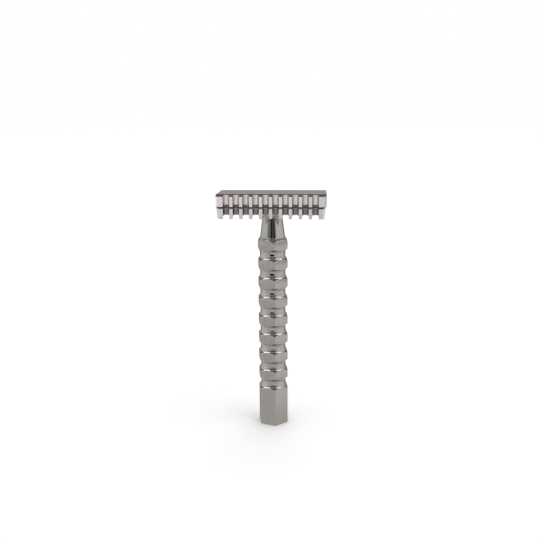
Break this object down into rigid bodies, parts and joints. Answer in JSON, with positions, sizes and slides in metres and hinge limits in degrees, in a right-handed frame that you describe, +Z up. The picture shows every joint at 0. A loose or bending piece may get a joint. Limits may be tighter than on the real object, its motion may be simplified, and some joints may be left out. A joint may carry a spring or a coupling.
{
  "type": "safety razor",
  "caption": "Double-edge safety razor with an open comb plate, a scalloped top cap and a grooved hexagonal handle that screws onto the cap.",
  "frame": {"origin": "centre of the bottom of the handle's foot, on the table, on the handle's axis", "axes": "+Z up the handle to the head, X along the head, +Y from the front comb to the back comb"},
  "size_m": [0.0434, 0.0218, 0.0997],
  "materials": {
    "handle_steel": "polished stainless steel bar",
    "head_steel": "polished stainless steel, milled",
    "screw_steel": "turned stainless steel",
    "blade_steel": "ground hardened blade steel"
  },
  "bodies": {
    "handle": {"handle": "handle_steel"},
    "comb": {"comb_plate": "head_steel"},
    "cap": {"top_cap": "head_steel", "cap_stud": "screw_steel", "locating_pin_left": "screw_steel", "locating_pin_right": "screw_steel"},
    "blade": {"double_edge_blade": "blade_steel"}
  },
  "joints": [
    {"name": "head_turn", "type": "hinge", "parent": "handle", "child": "comb", "pos_m": [0, 0, 0.09174], "axis": [0, 0, 1], "range_deg": [0, 2880]},
    {"name": "cap_lift", "type": "slide", "parent": "comb", "child": "cap", "axis": [0, 0, 1], "range_m": [0, 0.0064]},
    {"name": "blade_lift", "type": "slide", "parent": "comb", "child": "blade", "axis": [0, 0, 1], "range_m": [0, 0.0032]}
  ],
  "couplings": [
    {"joint": "cap_lift", "follows": "head_turn", "m_per_rad": 0.00012732},
    {"joint": "blade_lift", "follows": "head_turn", "m_per_rad": 0.000063662}
  ]
}
